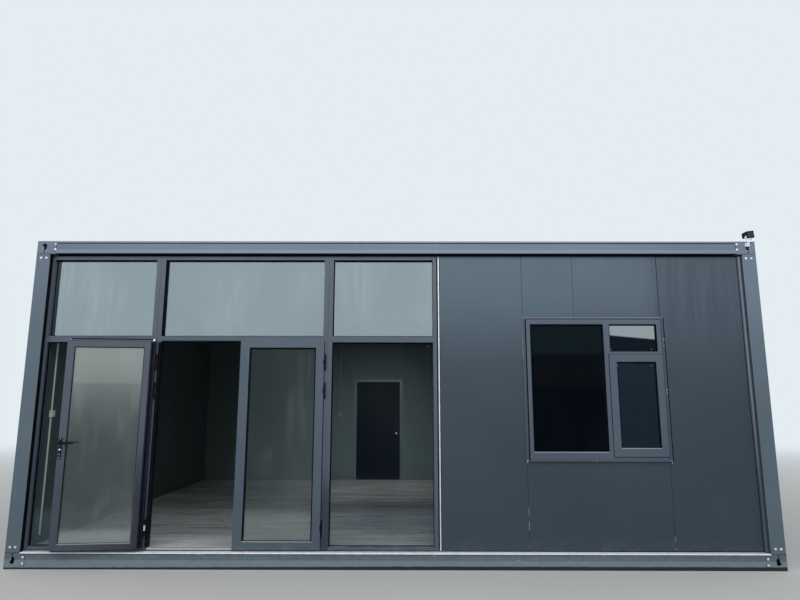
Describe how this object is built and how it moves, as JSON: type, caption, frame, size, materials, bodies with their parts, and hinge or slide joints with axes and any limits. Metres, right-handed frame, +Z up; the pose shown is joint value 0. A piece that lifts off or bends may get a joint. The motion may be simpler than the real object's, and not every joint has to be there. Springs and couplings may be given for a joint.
{
  "type": "container cabin",
  "caption": "Container cabin of two joined steel framed modules with a glazed double door screen, a window, a back door, insulated panel walls, a floor and a ribbed roof.",
  "frame": {"origin": "middle of the footprint of the steel frame, at ground level", "axes": "+Z up, front with the doors faces -Y, +X to the right when looking at the front"},
  "size_m": [8.0009, 6.1684, 3.5787],
  "materials": {
    "frame_steel": "satin",
    "hidden_steel": "satin",
    "floor": "satin",
    "roofing": "satin",
    "ceiling_board": "matte",
    "seal": "matte",
    "track": "matte",
    "door_paint": "satin",
    "panel": "satin",
    "window_flashing": "satin",
    "screen_aluminium": "satin",
    "bare_aluminium": "satin",
    "upper_glass": "gloss",
    "glass": "gloss",
    "black_fittings": "satin",
    "lamp_bracket": "satin",
    "lamp_body": "matte"
  },
  "bodies": {
    "cabin": {"base_long_beams": "frame_steel", "base_end_beams": "frame_steel", "base_corner_blocks": "frame_steel", "corner_posts": "frame_steel", "post_trim": "frame_steel", "roof_long_beams": "frame_steel", "roof_end_beams": "frame_steel", "roof_corner_blocks": "frame_steel", "floor_joists": "hidden_steel", "roof_joists": "hidden_steel", "floor_deck": "floor", "roof_sheets": "roofing", "ceiling": "ceiling_board", "module_joint_seals": "seal", "wall_tracks": "track", "front_panel_left": "panel", "front_panels_over_window": "panel", "front_panel_under_window": "panel", "front_panel_right": "panel", "end_walls": "panel", "back_wall_left": "panel", "back_wall_right": "panel", "back_wall_over_door": "panel", "window_flashing": "window_flashing", "screen_frame": "screen_aluminium", "screen_uprights": "screen_aluminium", "screen_rails": "screen_aluminium", "window_frame": "screen_aluminium", "window_sash": "screen_aluminium", "back_door_frame": "screen_aluminium", "door_threshold": "bare_aluminium", "edge_trim": "bare_aluminium", "upper_panes": "upper_glass", "fixed_panes": "glass", "window_glass": "glass", "frame_hinges": "black_fittings", "lamp_bracket": "lamp_bracket", "lamp_head": "lamp_body"},
    "left_leaf": {"left_leaf_frame": "screen_aluminium", "left_leaf_glass": "glass", "left_leaf_fittings": "black_fittings"},
    "left_levers": {"left_leaf_levers": "black_fittings"},
    "right_leaf": {"right_leaf_frame": "screen_aluminium", "right_leaf_glass": "glass", "right_leaf_hinges": "black_fittings"},
    "back_leaf": {"back_door_leaf": "door_paint", "back_door_fittings": "black_fittings"}
  },
  "joints": [
    {"name": "left_door_hinge", "type": "hinge", "parent": "cabin", "child": "left_leaf", "pos_m": [-2.603, -2.958, 1.26], "axis": [0, 0, 1], "range_deg": [-3, 174]},
    {"name": "left_lever_turn", "type": "hinge", "parent": "left_leaf", "child": "left_levers", "pos_m": [-3.47818, -3.04999, 1.265], "axis": [0.1045, -0.9945, 0], "range_deg": [-45, 0], "stiffness_Nm_per_rad": 1.2, "springref_deg": 20.05},
    {"name": "right_door_hinge", "type": "hinge", "parent": "cabin", "child": "right_leaf", "pos_m": [-0.762, -2.958, 1.26], "axis": [0, 0, 1], "range_deg": [0, 177]},
    {"name": "back_door_hinge", "type": "hinge", "parent": "cabin", "child": "back_leaf", "pos_m": [-0.87, 2.958, 1.26], "axis": [0, 0, 1], "range_deg": [0, 177]}
  ]
}
